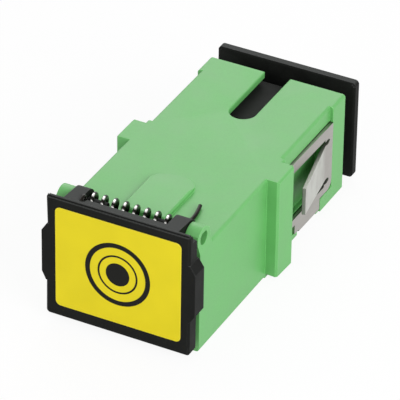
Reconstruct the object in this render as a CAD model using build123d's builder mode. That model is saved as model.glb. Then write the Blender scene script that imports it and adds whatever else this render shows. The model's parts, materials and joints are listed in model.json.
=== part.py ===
from build123d import *
import os
from math import radians, tan

# SC simplex adapter with a sprung shutter. Millimetres, +Z up, +Y from the shutter to the dust cap.
# The origin is the centre of the alignment sleeve's bore, on the optical axis.

# Housing
body_length = 26.2
body_height = 9.6
front_width = 12.66
recess_width = 12.0
collar_width = 12.9
collar_length = 2.25
flange_width = 14.7
flange_thickness = 2.85
lip_length = 0.5
long_edge_radius = 0.28
flange_edge_chamfer = 0.16
rear_edge_chamfer = 0.22

# Ports
port_width = 9.1
port_height = 7.5
port_lead_in = 0.3
web_thickness = 1.2
keyway_width = 2.3
rear_keyway_length = 7.45
keyway_mouth_radius = 0.35
front_keyway_length = 8.0
front_keyway_depth = 0.75
keyway_cover_width = 3.9
keyway_cover_height = 0.42
keyway_cover_front = 2.3
keyway_cover_length = 6.5
keyway_cover_ramp = 2.1
keyway_cover_corner = 1.2
keyway_cover_chamfer = 0.12

# Hinge of the shutter
pin_diameter = 1.2
pin_rise = 1.15
pin_setback = 0.57
pin_end_recess = 0.4
pin_end_chamfer = 0.12
ear_radius = 1.05
ear_width = 1.2
ear_foot_length = 2.0
knuckle_width = 1.15
hinge_side_clearance = 0.06
pin_clearance = 0.04

# Shutter door
door_width = 12.7
door_thickness = 1.15
door_rim_thickness = 0.42
door_rim_height = 0.22
door_rim_chamfer = 0.12
door_bottom_margin = 0.82
door_corner_radius = 0.32
door_edge_chamfer = 0.17
door_shoulder_slope = 0.72
door_ear_clearance = 0.17
grip_width = 0.48
grip_thickness = 1.5
grip_height = 5.4
grip_flat = 3.9
grip_centre_height = 1.8
liner_overlap = 0.6
liner_clearance = 0.05

# Label on the door
label_width = 11.2
label_height = 9.35
label_centre_height = 1.7
label_corner_radius = 0.45
label_thickness = 0.08

# Torsion spring
wire_diameter = 0.34
wire_sides = 5
coil_outer_diameter = 2.2
coil_pitch = 0.9
coil_turns = 8.25
wire_bend_radius = 0.8
housing_leg_length = 4.8
hook_bend_radius = 0.3
hook_length = 0.5
hook_seat_gap = 0.02

# Alignment sleeve and the two latch inserts that hold it
ferrule_diameter = 2.5
sleeve_outer_diameter = 3.2
sleeve_length = 11.4
sleeve_slit = 0.4
sleeve_play = 0.05
barrel_outer_diameter = 4.6
barrel_length = 6.4
barrel_mouth_diameter = 2.9
barrel_mouth_chamfer = 0.3
insert_base_thickness = 1.2
insert_fit = 0.04
arm_thickness = 0.75
arm_height = 3.4
arm_length = 6.9
arm_setback = 0.35
arm_hook_length = 1.3
arm_hook_reach = 0.5

# Panel clip, one folded strip of steel
sheet_thickness = 0.3
sheet_bend_radius = 0.25
sheet_proud = 0.05
clip_top_height = 3.3
clip_side_bottom = 3.0
clip_front_gap = 0.3
clip_rear_reach = 0.5
clip_corner_radius = 0.8
clip_web_front = 5.05
clip_web_width = 3.75
clip_web_lift = 0.2
clip_play = 0.1
window_height = 4.65
window_front = 3.2
window_rear = 9.55
wing_root_height = 3.5
wing_tip_height = 2.5
wing_tip_y = 3.65
wing_proud = 0.05
wing_bend_radius = 1.2
wing_corner_radius = 0.5
wing_slit = 0.35
wing_slit_end = 10.2
wing_pocket_depth = 0.4

# Dust cap
cap_plate_width = 12.6
cap_plate_height = 8.94
cap_plate_thickness = 0.9
cap_plate_lift = 0.33
cap_plate_corner = 0.35
cap_plate_chamfer = 0.22
cap_neck_width = 10.6
cap_neck_height = 4.9
cap_neck_length = 1.7
cap_seat_gap = 0.03
plug_clearance = 0.1
plug_length = 6.1
plug_wall = 0.8
plug_nose_chamfer = 0.35
plug_hollow_depth = 5.6

# Places that several pieces share
front_y = -body_length / 2
rear_y = body_length / 2
top_z = body_height / 2
bottom_z = -body_height / 2
flange_back = flange_thickness / 2
lip_back = flange_back + lip_length
collar_front = rear_y - collar_length
pin_y = front_y + pin_setback
pin_z = top_z + pin_rise
ear_outer_x = front_width / 2
ear_inner_x = ear_outer_x - ear_width
knuckle_outer_x = ear_inner_x - hinge_side_clearance
door_back_y = pin_y - ear_radius - door_ear_clearance
door_front_y = door_back_y - door_thickness
ledge_z = pin_z + ear_radius
door_top_z = ledge_z + door_rim_height
door_bottom_z = bottom_z + door_bottom_margin
clip_outer_x = recess_width / 2 + sheet_proud
clip_inner_x = clip_outer_x - sheet_thickness
clip_rear_y = collar_front + clip_rear_reach
clip_web_z = bottom_z + clip_web_lift
clip_floor_z = clip_web_z + sheet_thickness
clip_web_rear = clip_web_front + clip_web_width
neck_front_y = rear_y + cap_seat_gap
cap_plate_y = neck_front_y + cap_neck_length
plug_width = port_width - 2 * plug_clearance
plug_height = port_height - 2 * plug_clearance
sleeve_bore_diameter = ferrule_diameter
roof_thickness = (body_height - port_height) / 2
rear_rounding = min(rear_edge_chamfer, 0.9 * long_edge_radius, 0.45 * roof_thickness)
lead_in = min(port_lead_in, 0.45 * roof_thickness)


def station(y):
    """A plane across the adapter at one place along it, with X to the right and Z up."""
    return Plane.XZ.offset(-y)


def clip_side_view(grow):
    """The side view of the clip without its window, grown by a clearance all round."""
    front = lip_back + clip_front_gap - grow
    low = -clip_side_bottom - grow
    with BuildSketch(Plane.YZ) as view:
        with BuildLine():
            Polyline(
                (front, clip_top_height + grow),
                (clip_rear_y + grow, clip_top_height + grow),
                (clip_rear_y + grow, low),
                (clip_web_rear + grow, low),
                (clip_web_rear + grow, -body_height),
                (clip_web_front - grow, -body_height),
                (clip_web_front - grow, low),
                (front, low),
                close=True,
            )
        make_face()
        fillet(view.vertices().group_by(Axis.X)[-1].sort_by(Axis.Y)[0], clip_corner_radius)
    return view.sketch_local


def wire_bend(point, along, towards, radius):
    """An arc that turns the spring's wire at a point from one direction to another."""
    reach = radius * tan(radians(along.get_angle(towards)) / 2)
    return TangentArc(point, point + (along + towards) * reach, tangent=along)


# Housing: one moulding with a flange, a recessed middle and a collar
body_sections = [
    (front_y, lip_back, front_width),
    (lip_back, collar_front, recess_width),
    (collar_front, rear_y, collar_width),
]
with BuildPart() as housing:
    with BuildSketch(station(-flange_back)):
        Rectangle(flange_width, body_height)
    extrude(amount=-flange_thickness)
    side_faces = housing.faces().filter_by(Axis.X)
    chamfer([edge for face in side_faces for edge in face.edges()], flange_edge_chamfer)
    for start, end, width in body_sections:
        with BuildSketch(station(start)):
            RectangleRounded(width, body_height, long_edge_radius)
        extrude(amount=start - end)
    rear_face = housing.faces().filter_by(Axis.Y).sort_by(Axis.Y)[-1]
    chamfer(rear_face.edges(), rear_rounding)

    # The raised cover of the front keyway, ramped down at its rear end
    with BuildSketch(Plane.XY.offset(top_z)) as cover:
        with Locations((0, front_y + keyway_cover_front)):
            Rectangle(keyway_cover_width, keyway_cover_length, align=(Align.CENTER, Align.MIN))
        fillet(cover.vertices().group_by(Axis.Y)[-1], keyway_cover_corner)
    extrude(amount=keyway_cover_height)
    chamfer(housing.faces().sort_by(Axis.Z)[-1].edges(), keyway_cover_chamfer)
    cover_end = front_y + keyway_cover_front + keyway_cover_length
    with BuildSketch(Plane.YZ):
        with BuildLine():
            Polyline(
                (cover_end - keyway_cover_ramp, top_z + keyway_cover_height),
                (cover_end, top_z),
                (cover_end, top_z + keyway_cover_height),
                close=True,
            )
        make_face()
    extrude(amount=keyway_cover_width, both=True, mode=Mode.SUBTRACT)

    # Hinge ears, round about the pin, each with a foot on the top of the housing
    ear_foot_z = top_z - long_edge_radius
    for side in (-1, 1):
        with BuildSketch(Plane.YZ.offset(side * (ear_inner_x + ear_width / 2))):
            with BuildLine():
                CenterArc((pin_y, pin_z), ear_radius, 0, 360)
                Line((front_y, ear_foot_z), (front_y + ear_foot_length, ear_foot_z))
            make_hull()
        extrude(amount=ear_width / 2, both=True)
    with BuildSketch(Plane.YZ):
        with Locations((pin_y, pin_z)):
            Circle(pin_diameter / 2)
    extrude(amount=front_width, both=True, mode=Mode.SUBTRACT)

    # Ports on both sides of the middle web, each with a lead-in, and a keyway in the ceiling of each
    for side in (-1, 1):
        with BuildSketch(station(side * web_thickness / 2)):
            Rectangle(port_width, port_height)
        extrude(amount=-side * (body_length - web_thickness) / 2, mode=Mode.SUBTRACT)
        end_face = housing.faces().filter_by(Axis.Y).sort_by(Axis.Y)[0 if side < 0 else -1]
        chamfer(end_face.inner_wires()[0].edges(), lead_in)
    with BuildSketch(station(0)):
        Circle(barrel_outer_diameter / 2 + insert_fit)
    extrude(amount=web_thickness, both=True, mode=Mode.SUBTRACT)
    with BuildSketch(Plane.XY.offset(port_height / 2 - front_keyway_depth)):
        with Locations((0, front_y)):
            Rectangle(keyway_width, front_keyway_length, align=(Align.CENTER, Align.MIN))
    extrude(amount=2 * front_keyway_depth, mode=Mode.SUBTRACT)
    with BuildSketch(Plane.XY.offset(port_height / 2 - front_keyway_depth)):
        with Locations((0, rear_y - rear_keyway_length + keyway_width / 2)):
            Circle(keyway_width / 2)
            Rectangle(keyway_width, rear_keyway_length, align=(Align.CENTER, Align.MIN))
        with Locations((0, rear_y)):
            Rectangle(keyway_width + 2 * keyway_mouth_radius, keyway_mouth_radius,
                      align=(Align.CENTER, Align.MAX))
        mouth_centre_x = keyway_width / 2 + keyway_mouth_radius
        with Locations((-mouth_centre_x, rear_y - keyway_mouth_radius),
                       (mouth_centre_x, rear_y - keyway_mouth_radius)):
            Circle(keyway_mouth_radius, mode=Mode.SUBTRACT)
    extrude(amount=body_height, mode=Mode.SUBTRACT)

    # Seats for the clip: a shallow pocket in each side and a channel underneath, round the folded strip
    side_view = clip_side_view(clip_play)
    for side in (-1, 1):
        with BuildSketch(Plane.YZ.offset(side * clip_inner_x)):
            add(side_view)
        extrude(amount=side * flange_width / 2, mode=Mode.SUBTRACT)
    with BuildSketch(station(clip_web_front - clip_play)) as channel:
        with Locations((0, -clip_side_bottom)):
            Rectangle(2 * flange_width, body_height, align=(Align.CENTER, Align.MAX))
        with Locations((0, clip_floor_z)):
            RectangleRounded(2 * clip_inner_x, body_height, sheet_bend_radius,
                             align=(Align.CENTER, Align.MIN), mode=Mode.SUBTRACT)
    extrude(amount=-(clip_web_width + 2 * clip_play), mode=Mode.SUBTRACT)

    # A deeper pocket behind each wing, so that it can be pressed flat
    for side in (-1, 1):
        with BuildSketch(Plane.YZ.offset(side * (clip_inner_x - wing_pocket_depth))):
            with Locations((window_front, 0)):
                Rectangle(window_rear - window_front, window_height, align=(Align.MIN, Align.CENTER))
        extrude(amount=side * flange_width / 2, mode=Mode.SUBTRACT)
housing.part.label = "housing"

# Front latch insert: a base on the web, half of the sleeve's barrel, and two arms that hook the plug
with BuildPart() as front_latch_insert:
    with BuildSketch(station(-web_thickness / 2)):
        Rectangle(port_width - 2 * insert_fit, port_height - 2 * insert_fit)
    extrude(amount=insert_base_thickness)
    with BuildSketch(station(0)):
        Circle(barrel_outer_diameter / 2)
    extrude(amount=barrel_length)
    arm_outer_x = port_width / 2 - arm_setback
    arm_inner_x = arm_outer_x - arm_thickness
    with BuildSketch(Plane.XY):
        for side in (-1, 1):
            with BuildLine():
                Polyline(
                    (side * arm_outer_x, -web_thickness),
                    (side * arm_outer_x, -arm_length),
                    (side * arm_inner_x, -arm_length),
                    (side * (arm_inner_x - arm_hook_reach), -arm_length + arm_hook_reach),
                    (side * (arm_inner_x - arm_hook_reach), -arm_length + arm_hook_length),
                    (side * arm_inner_x, -arm_length + arm_hook_length),
                    (side * arm_inner_x, -web_thickness),
                    close=True,
                )
            make_face()
    extrude(amount=arm_height / 2, both=True)
    with BuildSketch(station(0)):
        Circle(sleeve_outer_diameter / 2 + sleeve_play)
    extrude(amount=sleeve_length / 2 + sleeve_play, mode=Mode.SUBTRACT)
    with BuildSketch(station(0)):
        Circle(barrel_mouth_diameter / 2)
    extrude(amount=barrel_length, mode=Mode.SUBTRACT)
    barrel_end = front_latch_insert.edges().filter_by(GeomType.CIRCLE).group_by(Axis.Y)[0]
    chamfer(barrel_end.sort_by(SortBy.RADIUS)[-1], barrel_mouth_chamfer)
front_latch_insert.part.label = "front_latch_insert"

# Rear latch insert: the same moulding, turned to face the dust cap
with BuildPart() as rear_latch_insert:
    add(mirror(front_latch_insert.part, about=Plane.XZ))
rear_latch_insert.part.label = "rear_latch_insert"

# Alignment sleeve: a zirconia tube slit along its length
with BuildPart() as alignment_sleeve:
    with BuildSketch(station(-sleeve_length / 2)):
        Circle(sleeve_outer_diameter / 2)
        Circle(sleeve_bore_diameter / 2, mode=Mode.SUBTRACT)
        Rectangle(sleeve_slit, sleeve_outer_diameter, align=(Align.CENTER, Align.MAX), mode=Mode.SUBTRACT)
    extrude(amount=-sleeve_length)
alignment_sleeve.part.label = "alignment_sleeve"

# Panel clip: a strip folded under the housing, with a wing cut out of each side and sprung outwards
sheet_middle_x = clip_inner_x + sheet_thickness / 2
sheet_middle_radius = sheet_bend_radius + sheet_thickness / 2
wing_tip_x = flange_width / 2 + wing_proud - sheet_thickness / 2
wing_root_y = wing_slit_end - wing_bend_radius / 2
with BuildPart() as wing:
    with BuildSketch(Plane.XY.offset(-window_height / 2)):
        with BuildLine() as wing_path:
            FilletPolyline(
                (sheet_middle_x, wing_slit_end),
                (sheet_middle_x, wing_root_y),
                (wing_tip_x, wing_tip_y),
                radius=wing_bend_radius,
            )
        trace(wing_path.line, sheet_thickness)
    extrude(amount=window_height)
    with BuildSketch(Plane.YZ) as wing_view:
        with BuildLine():
            Polyline(
                (wing_tip_y - sheet_thickness, -wing_tip_height / 2),
                (wing_root_y, -wing_root_height / 2),
                (wing_slit_end, -wing_root_height / 2),
                (wing_slit_end, wing_root_height / 2),
                (wing_root_y, wing_root_height / 2),
                (wing_tip_y - sheet_thickness, wing_tip_height / 2),
                close=True,
            )
        make_face()
        fillet(wing_view.vertices().group_by(Axis.Y)[0], wing_corner_radius)
    extrude(amount=flange_width, mode=Mode.INTERSECT)

with BuildPart() as panel_clip:
    with BuildSketch(station(lip_back)):
        with BuildLine() as fold:
            FilletPolyline(
                (-sheet_middle_x, clip_top_height),
                (-sheet_middle_x, clip_web_z + sheet_thickness / 2),
                (sheet_middle_x, clip_web_z + sheet_thickness / 2),
                (sheet_middle_x, clip_top_height),
                radius=sheet_middle_radius,
            )
        trace(fold.line, sheet_thickness)
    extrude(amount=lip_back - clip_rear_y)
    with BuildSketch(Plane.YZ):
        add(clip_side_view(0))
    extrude(amount=flange_width, both=True, mode=Mode.INTERSECT)
    with BuildSketch(Plane.YZ):
        with Locations((window_front, 0)):
            Rectangle(window_rear - window_front, window_height, align=(Align.MIN, Align.CENTER))
        for side in (-1, 1):
            with Locations((wing_slit_end, side * (wing_root_height + wing_slit) / 2)):
                Circle(wing_slit / 2)
                Rectangle(wing_slit_end - window_front, wing_slit, align=(Align.MAX, Align.CENTER))
    extrude(amount=flange_width, both=True, mode=Mode.SUBTRACT)
    add(wing.part)
    add(mirror(wing.part, about=Plane.YZ))
panel_clip.part.label = "panel_clip"

# Shutter door: plate, finger grips, a liner that closes the port, and two knuckles on the pin
with BuildPart() as shutter_door:
    with BuildSketch(station(door_front_y)):
        with Locations((0, (door_top_z + door_bottom_z) / 2)):
            RectangleRounded(door_width, door_top_z - door_bottom_z, door_corner_radius)
    extrude(amount=-door_thickness)
    chamfer(shutter_door.faces().sort_by(Axis.Y)[0].outer_wire().edges(), door_edge_chamfer)

    # Behind its thin top rim the plate steps down to a ledge, and it slopes away in front of the ears
    rim_back_y = door_front_y + door_rim_thickness
    with BuildSketch(Plane.YZ):
        with Locations((rim_back_y, ledge_z)):
            Rectangle(door_thickness, 2 * door_rim_height, align=(Align.MIN, Align.MIN))
    extrude(amount=door_width, both=True, mode=Mode.SUBTRACT)
    for side in (-1, 1):
        with BuildSketch(Plane.YZ.offset(side * knuckle_outer_x)):
            with BuildLine():
                Polyline(
                    (rim_back_y, ledge_z),
                    (door_back_y, ledge_z - door_shoulder_slope),
                    (door_back_y, ledge_z),
                    close=True,
                )
            make_face()
        extrude(amount=side * door_width, mode=Mode.SUBTRACT)
    chamfer(shutter_door.edges().filter_by(Axis.X).group_by(Axis.Z)[-1].sort_by(Axis.Y)[-1], door_rim_chamfer)

    grip_root_x = door_width / 2 - door_edge_chamfer
    grip_outer_x = door_width / 2 + grip_width
    grip_low = grip_centre_height - grip_height / 2
    grip_high = grip_centre_height + grip_height / 2
    grip_flat_low = grip_centre_height - grip_flat / 2
    grip_flat_high = grip_centre_height + grip_flat / 2
    with BuildSketch(station(door_front_y)):
        for side in (-1, 1):
            with BuildLine():
                Polyline(
                    (side * grip_root_x, grip_low),
                    (side * door_width / 2, grip_low),
                    (side * grip_outer_x, grip_flat_low),
                    (side * grip_outer_x, grip_flat_high),
                    (side * door_width / 2, grip_high),
                    (side * grip_root_x, grip_high),
                    close=True,
                )
            make_face()
    extrude(amount=-grip_thickness)
    liner_bottom = -port_height / 2 - lead_in / 2
    liner_top = port_height / 2 + liner_overlap
    with BuildSketch(station(door_back_y)):
        with Locations((0, (liner_top + liner_bottom) / 2)):
            Rectangle(port_width + 2 * liner_overlap, liner_top - liner_bottom)
    extrude(amount=door_back_y - (front_y - liner_clearance))
    for side in (-1, 1):
        with BuildSketch(Plane.YZ.offset(side * (knuckle_outer_x - knuckle_width / 2))):
            with Locations((pin_y, pin_z)):
                Circle(ear_radius)
            with Locations((pin_y, ledge_z)):
                Rectangle(pin_y - door_back_y, 1.5 * ear_radius, align=(Align.MAX, Align.MAX))
            with Locations((pin_y, pin_z)):
                Circle(pin_diameter / 2 + pin_clearance, mode=Mode.SUBTRACT)
        extrude(amount=knuckle_width / 2, both=True)
shutter_door.part.label = "shutter_door"

# Hinge pin, pressed into both ears and a little shorter than they are wide
with BuildPart() as hinge_pin:
    with BuildSketch(Plane.YZ):
        with Locations((pin_y, pin_z)):
            Circle(pin_diameter / 2)
    extrude(amount=ear_outer_x - pin_end_recess, both=True)
    chamfer(hinge_pin.edges().filter_by(GeomType.CIRCLE), pin_end_chamfer)
hinge_pin.part.label = "hinge_pin"

# Torsion spring: a leg on the housing, the coil round the pin, and a hook over the door's ledge
coil_radius = (coil_outer_diameter - wire_diameter) / 2
coil_half_length = coil_turns * coil_pitch / 2
hook_z = ledge_z + hook_seat_gap + wire_diameter / 2
with BuildPart() as torsion_spring:
    with BuildLine() as wire:
        upright = Edge.make_helix(coil_pitch, 2 * coil_half_length, coil_radius)
        lying = upright.rotate(Axis.Y, 90).rotate(Axis.Z, 180)
        coil = lying.moved(Location((coil_half_length, pin_y, pin_z)))
        add(coil)
        housing_bend = wire_bend(coil @ 0, -(coil % 0), Vector(0, 1, 0), wire_bend_radius)
        Line(housing_bend @ 1, (housing_bend @ 1) + Vector(0, housing_leg_length, 0))
        door_bend = wire_bend(coil @ 1, coil % 1, Vector(0, 0, 1), wire_bend_radius)
        rise = Line(door_bend @ 1, Vector((door_bend @ 1).X, (door_bend @ 1).Y, hook_z - hook_bend_radius))
        hook_bend = wire_bend(rise @ 1, Vector(0, 0, 1), Vector(0, -1, 0), hook_bend_radius)
        Line(hook_bend @ 1, (hook_bend @ 1) - Vector(0, hook_length, 0))
    with BuildSketch(Plane(origin=wire.wire() @ 0, z_dir=wire.wire() % 0)):
        RegularPolygon(wire_diameter / 2, wire_sides)
    sweep(path=wire.wire(), is_frenet=True)
torsion_spring.part.label = "torsion_spring"

# Label: a thin sheet stuck to the front of the door
with BuildPart() as door_label:
    with BuildSketch(station(door_front_y)):
        with Locations((0, label_centre_height)):
            RectangleRounded(label_width, label_height, label_corner_radius)
    extrude(amount=label_thickness)
door_label.part.label = "door_label"

# Dust cap: a plate on a neck, and a hollow plug in the rear port
with BuildPart() as dust_cap:
    with BuildSketch(station(cap_plate_y)):
        with Locations((0, cap_plate_lift)):
            RectangleRounded(cap_plate_width, cap_plate_height, cap_plate_corner)
    extrude(amount=-cap_plate_thickness)
    for plate_face in dust_cap.faces().filter_by(Axis.Y):
        chamfer(plate_face.edges(), cap_plate_chamfer)
    with BuildSketch(station(neck_front_y)):
        Rectangle(cap_neck_width, cap_neck_height)
    extrude(amount=-cap_neck_length)
    with BuildSketch(station(neck_front_y)):
        Rectangle(plug_width, plug_height)
    extrude(amount=plug_length)
    chamfer(dust_cap.faces().sort_by(Axis.Y)[0].edges(), plug_nose_chamfer)
    with BuildSketch(station(neck_front_y - plug_length)):
        Rectangle(plug_width - 2 * plug_wall, plug_height - 2 * plug_wall)
    extrude(amount=-plug_hollow_depth, mode=Mode.SUBTRACT)
dust_cap.part.label = "dust_cap"

os.makedirs("parts", exist_ok=True)
pieces = (
    housing, front_latch_insert, rear_latch_insert, alignment_sleeve, panel_clip,
    shutter_door, hinge_pin, torsion_spring, door_label, dust_cap,
)
for piece in pieces:
    export_step(piece.part, f"parts/{piece.part.label}.step")
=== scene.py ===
"""Finishes a square fibre optic adapter: its mouldings, panel clip, shutter spring, label and studio."""

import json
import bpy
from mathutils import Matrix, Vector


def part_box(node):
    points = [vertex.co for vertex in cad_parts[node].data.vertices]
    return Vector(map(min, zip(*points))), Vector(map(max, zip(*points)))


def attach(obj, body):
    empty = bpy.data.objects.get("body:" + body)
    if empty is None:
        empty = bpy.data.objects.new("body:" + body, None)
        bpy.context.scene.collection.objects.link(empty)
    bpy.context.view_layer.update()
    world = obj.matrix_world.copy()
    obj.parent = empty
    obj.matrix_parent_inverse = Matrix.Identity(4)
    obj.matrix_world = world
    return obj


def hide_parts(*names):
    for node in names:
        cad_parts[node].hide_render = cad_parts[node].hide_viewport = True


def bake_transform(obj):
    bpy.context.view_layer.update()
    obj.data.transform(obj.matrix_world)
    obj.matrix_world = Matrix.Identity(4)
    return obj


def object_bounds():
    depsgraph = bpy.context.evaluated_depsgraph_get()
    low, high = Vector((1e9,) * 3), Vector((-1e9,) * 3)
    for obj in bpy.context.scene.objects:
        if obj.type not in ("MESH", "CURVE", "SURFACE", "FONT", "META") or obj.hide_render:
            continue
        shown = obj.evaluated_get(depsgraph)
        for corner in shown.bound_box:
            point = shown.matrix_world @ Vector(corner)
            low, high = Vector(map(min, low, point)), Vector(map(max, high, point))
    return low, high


bl_info = {
    "name": "Fibre Optic Adapter",
    "version": (1, 0, 0),
    "blender": (4, 5, 0),
    "location": "View3D > Sidebar > Adapter",
    "description": "Finishes the adapter's mouldings and steel, and models its spring, label and studio",
    "category": "Object",
}

from math import cos, pi, radians, sin

import bpy
from bpy.props import FloatProperty, FloatVectorProperty, IntProperty, PointerProperty
from mathutils import Matrix, Vector

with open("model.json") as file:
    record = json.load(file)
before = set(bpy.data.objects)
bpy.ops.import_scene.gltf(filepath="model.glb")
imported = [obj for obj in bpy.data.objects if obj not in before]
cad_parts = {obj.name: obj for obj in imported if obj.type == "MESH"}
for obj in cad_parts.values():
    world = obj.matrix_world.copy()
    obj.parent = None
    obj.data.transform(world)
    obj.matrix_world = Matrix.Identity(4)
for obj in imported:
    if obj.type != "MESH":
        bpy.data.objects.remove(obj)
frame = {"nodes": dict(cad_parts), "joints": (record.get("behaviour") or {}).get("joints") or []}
cad_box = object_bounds()

MM = 0.001
WHITE = (1.0, 1.0, 1.0, 1.0)

# Places on the housing, in millimetres
BODY_SIDE = 6.33
RECESS_SIDE = 6.0
FLANGE_EDGE = 7.1
FLANGE_REAR = 1.425
FLANGE_ZONE = 1.6
FOOT_BLOCK_REAR = 4.85
FOOT_BLOCK_TOP = -3.9
COLLAR_SIDE = 6.45
COLLAR_FRONT = 10.85
REAR_MOUTH = 12.5
ROOF = 4.8
UNDERSIDE = -4.8
EAR_ZONE = -11.0
EAR_ROOT = 5.0
EAR_CROWN = 6.4
COVER_SIDE = 1.95
COVER_END = -4.3
KEYWAY_FRONT = 5.0
KEYWAY_EDGE = 1.7
KEYWAY_GAP = ((-1.75, 5.9, 3.6), (1.75, 13.6, 4.25))

# Places on the clip and in its seat
SEAT_FLOOR = 5.75
SEAT_LOW = -3.1
SEAT_HIGH = 3.4
CHANNEL_REAR = 8.9
CLIP_OUTSIDE = 6.05
CLIP_SIDE_ZONE = (5.7, 6.2)
CLIP_BEND = -4.1
CLIP_FRONT_ZONE = 2.3
CLIP_REAR_ZONE = 10.5
CLIP_MIDDLE = 6.6
CLIP_REAR = 11.35
CLIP_GUSSET = ((SEAT_FLOOR, 4.25, -3.9), (CLIP_OUTSIDE, 5.2, -2.9))
SLIT_END = 9.95
SLIT_HEIGHT = 1.925

# Places on the shutter door and its pins
DOOR_BACK = -13.75
DOOR_CORNER = 5.5
KNUCKLE_INSIDE = 3.92
RIM_BACK = -14.48
RIM_CUT = ((-7.0, -15.2, 7.04), (7.0, -14.76, 7.4))
SHOULDER_CUT = ((5.09, -14.42, 6.45), (7.0, -13.7, 7.4))
HOOK_CUT = ((-3.9, -14.43, 6.85), (-3.37, -13.65, 7.1))
STUB_INSIDE = 3.95
STUB_OUTSIDE = 5.63

# The door's lower edge: where each part starts, and its top at the corners and between them
LOWER_EDGE = ((-9.0, -3.2, -3.95), (0.0, -3.6, -4.0))

# The door's left edge: what share of the shift a part takes, where it starts, and its foot and top
LEFT_EDGE = (
    (0.4, -5.9, -9.0, 9.0),
    (0.6, -5.9, 5.0, 9.0),
    (1.5, -5.9, -9.0, -2.0),
    (1.2, -6.1, -1.0, -0.8),
)

# The back of the door's rim: the foot and top of each part, and how far it moves up
RIM_STEPS = ((6.95, 7.05, 0.15), (7.05, 7.12, 0.06))

# Places on the dust cap, where a pair is from and to
CAP_SEAT = (13.1, 13.2)
CAP_PLATE = 14.7
CAP_FRONT_CHAMFER = (15.0, 15.1)
CAP_REAR_CHAMFER = (15.45, 15.6)
CAP_SIDE = 5.8
CAP_TOP = 4.2
CAP_FOOT = -3.6

# How near a vertex is to its place, how deep a joined block sinks in, and how far a cut runs out
NEAR = 0.02
SINK = 0.1
CLEAR = 0.2
BESIDE = 8.0
BEHIND = 14.0
THROUGH = 20.0

# The soft lamps: name, place and width in metres, and which setting holds the power
LAMPS = (
    ("key_lamp", (-0.13, 0.256, 0.191), 0.26, "key_power"),
    ("fill_lamp", (0.28, -0.135, 0.165), 0.22, "fill_power"),
    ("front_lamp", (-0.1, -0.32, 0.2), 0.24, "front_power"),
    ("upper_glint", (0.05, 0.097, 0.38), 0.04, "spot_power"),
    ("lower_glint", (0.0, -0.4, 0.01), 0.04, "spot_power"),
)


# Shader sockets as values

class Value:
    """A socket that can be written into an expression, which adds the Math nodes it needs."""

    def __init__(self, nodes, socket):
        self.nodes = nodes
        self.socket = socket

    def maths(self, operation, first, second):
        """One Math node on two values or numbers."""
        return self.nodes.add("ShaderNodeMath", {"operation": operation}, {0: first, 1: second})

    def __add__(self, other):
        return self.maths("ADD", self, other)

    def __radd__(self, other):
        return self.maths("ADD", other, self)

    def __sub__(self, other):
        return self.maths("SUBTRACT", self, other)

    def __rsub__(self, other):
        return self.maths("SUBTRACT", other, self)

    def __mul__(self, other):
        return self.maths("MULTIPLY", self, other)

    def __rmul__(self, other):
        return self.maths("MULTIPLY", other, self)


class Nodes:
    """The node tree of one material or world."""

    def __init__(self, owner):
        owner.use_nodes = True
        self.tree = owner.node_tree
        self.tree.nodes.clear()

    def add(self, kind, settings=None, inputs=None, output=0):
        """Adds a node, makes its settings, then fills its sockets with numbers or links."""
        made = self.tree.nodes.new(kind)
        for name, setting in (settings or {}).items():
            setattr(made, name, setting)
        for key, value in (inputs or {}).items():
            if isinstance(value, Value):
                self.tree.links.new(value.socket, made.inputs[key])
            else:
                made.inputs[key].default_value = value
        return Value(self, made.outputs[output]) if made.outputs else None

    def mix(self, factor, first, second):
        """Two colours mixed by a factor."""
        settings = {"data_type": "RGBA", "clamp_factor": True}
        return self.add("ShaderNodeMix", settings, {0: factor, 6: first, 7: second}, output=2)

    def along(self, source, axis):
        """One axis of the place on the object, in metres, or of the way that a face looks."""
        vector = self.add("ShaderNodeTexCoord", output=source)
        return self.add("ShaderNodeSeparateXYZ", {}, {"Vector": vector}, output=axis)

    def noise(self, size, detail=3.0, stretch=(1.0, 1.0, 1.0)):
        """A noise whose patches are about the given size across, in metres, and drawn out by a stretch."""
        spot = self.add("ShaderNodeTexCoord", output="Object")
        place = self.add("ShaderNodeMapping", {}, {"Vector": spot, "Scale": stretch})
        return self.add("ShaderNodeTexNoise", {}, {"Vector": place, "Scale": 1.0 / size, "Detail": detail})

    def cloud(self, size, detail=3.0):
        """A soft noise spread from 0 to 1."""
        return self.around(self.noise(size, detail), 0.3, 0.7)

    def around(self, value, low, high):
        """A noise value spread so that low to high becomes 0 to 1."""
        inputs = {"Value": value, "From Min": low, "From Max": high}
        return self.add("ShaderNodeMapRange", {"clamp": True}, inputs)

    def bump(self, height, distance, strength=1.0, under=None):
        """A bump of the given height in metres, on top of another normal."""
        inputs = {"Height": height, "Distance": distance, "Strength": strength}
        if under is not None:
            inputs["Normal"] = under
        return self.add("ShaderNodeBump", {}, inputs)

    def soft_edges(self, radius):
        """The normal with its edges rounded, and a mask that is 1 on those edges."""
        rounded = self.add("ShaderNodeBevel", {"samples": 8}, {"Radius": radius})
        facing = self.add("ShaderNodeNewGeometry", output="Normal")
        settings = {"operation": "DOT_PRODUCT"}
        agree = self.add("ShaderNodeVectorMath", settings, {0: rounded, 1: facing}, output="Value")
        return rounded, self.around(1.0 - agree, 0.006, 0.09)

    def surface(self, inputs):
        """Ends a material with one Principled surface."""
        shader = self.add("ShaderNodeBsdfPrincipled", {}, inputs)
        self.add("ShaderNodeOutputMaterial", {}, {"Surface": shader})


# The adapter's finishes

def paint(name):
    """A new material and its empty node tree."""
    material = bpy.data.materials.new(name)
    return material, Nodes(material)


def tint(colour, factor):
    """A colour made lighter or darker, with its alpha."""
    return tuple(min(1.0, part * factor) for part in colour[:3]) + (1.0,)


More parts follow.
